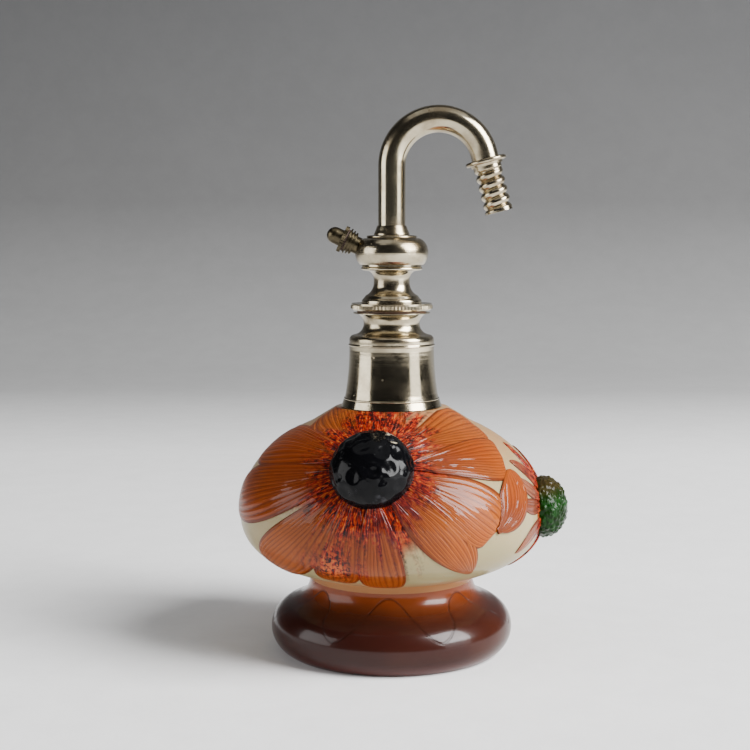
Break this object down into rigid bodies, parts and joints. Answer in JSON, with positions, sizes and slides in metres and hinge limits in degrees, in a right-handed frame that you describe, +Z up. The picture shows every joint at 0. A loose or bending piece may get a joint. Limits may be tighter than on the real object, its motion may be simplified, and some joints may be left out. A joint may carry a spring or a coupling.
{
  "type": "perfume atomiser",
  "caption": "Footed glass perfume bottle with applied glass cabochons and a plated metal atomiser mount: screw plug, side spray nozzle, gooseneck air tube and ridged hose spigot.",
  "frame": {"origin": "centre of the foot's flat base, on the surface that the bottle stands on", "axes": "+Z up the bottle's axis, +X towards the gooseneck's hose spigot, -Y towards the front with the large cabochon"},
  "size_m": [0.1005, 0.0992, 0.167],
  "materials": {
    "amber_glass": "satin iridescent, amber petals in low relief on cream",
    "foot_glass": "glossy dark brown",
    "black_glass": "glossy, dimpled",
    "green_glass": "glossy, bumpy",
    "plaster": "matte",
    "cork": "fine grain",
    "plated_brass": "worn nickel plate, pitted",
    "aged_brass": "dark tarnish",
    "bright_brass": "machined",
    "leather": "oiled",
    "fibre": "matte vulcanised fibre",
    "clear_glass": "clear drawn tube"
  },
  "bodies": {
    "bottle": {"foot": "foot_glass", "bottle_body": "amber_glass", "front_cabochon": "black_glass", "side_cabochon": "green_glass", "rear_cabochon": "black_glass", "neck_plaster": "plaster", "neck_gasket": "cork", "collar": "plated_brass", "throat": "plated_brass", "threaded_bush": "bright_brass"},
    "cork": {"neck_cork": "cork"},
    "plug_washer": {"flange_washer": "leather"},
    "sprayer": {"screw_plug": "plated_brass", "stem": "plated_brass", "head_base": "plated_brass", "head_shell": "plated_brass", "head_cap": "plated_brass", "ferrule": "plated_brass", "gooseneck": "plated_brass", "hose_stop": "plated_brass", "hose_spigot": "plated_brass", "nozzle_stub": "aged_brass", "gland_nut": "aged_brass", "gland_packing": "fibre", "dip_tube": "clear_glass", "dip_tube_bush": "cork", "riser_tube": "bright_brass", "jet_needle": "bright_brass"},
    "nozzle_washer": {"tip_washer": "fibre"},
    "nozzle_cap": {"nozzle_tip": "aged_brass"}
  },
  "joints": [
    {"name": "sprayer_pull_out", "type": "slide", "parent": "bottle", "child": "cork", "axis": [0, 0, 1], "range_m": [0, 0.085]},
    {"name": "sprayer_lift", "type": "slide", "parent": "cork", "child": "plug_washer", "axis": [0, 0, 1], "range_m": [0, 0.006]},
    {"name": "sprayer_turn", "type": "hinge", "parent": "plug_washer", "child": "sprayer", "pos_m": [0, 0, 0.10492], "axis": [0, 0, 1], "range_deg": [0, 1800]},
    {"name": "nozzle_travel", "type": "slide", "parent": "sprayer", "child": "nozzle_washer", "axis": [-0.9063, 0, 0.4226], "range_m": [0, 0.0032]},
    {"name": "nozzle_turn", "type": "hinge", "parent": "nozzle_washer", "child": "nozzle_cap", "pos_m": [0, 0, 0.11962], "axis": [-0.9063, 0, 0.4226], "range_deg": [0, 1440]}
  ],
  "couplings": [
    {"joint": "sprayer_lift", "follows": "sprayer_turn", "m_per_rad": 0.00019099},
    {"joint": "nozzle_turn", "follows": "nozzle_travel", "rad_per_m": 7854}
  ]
}
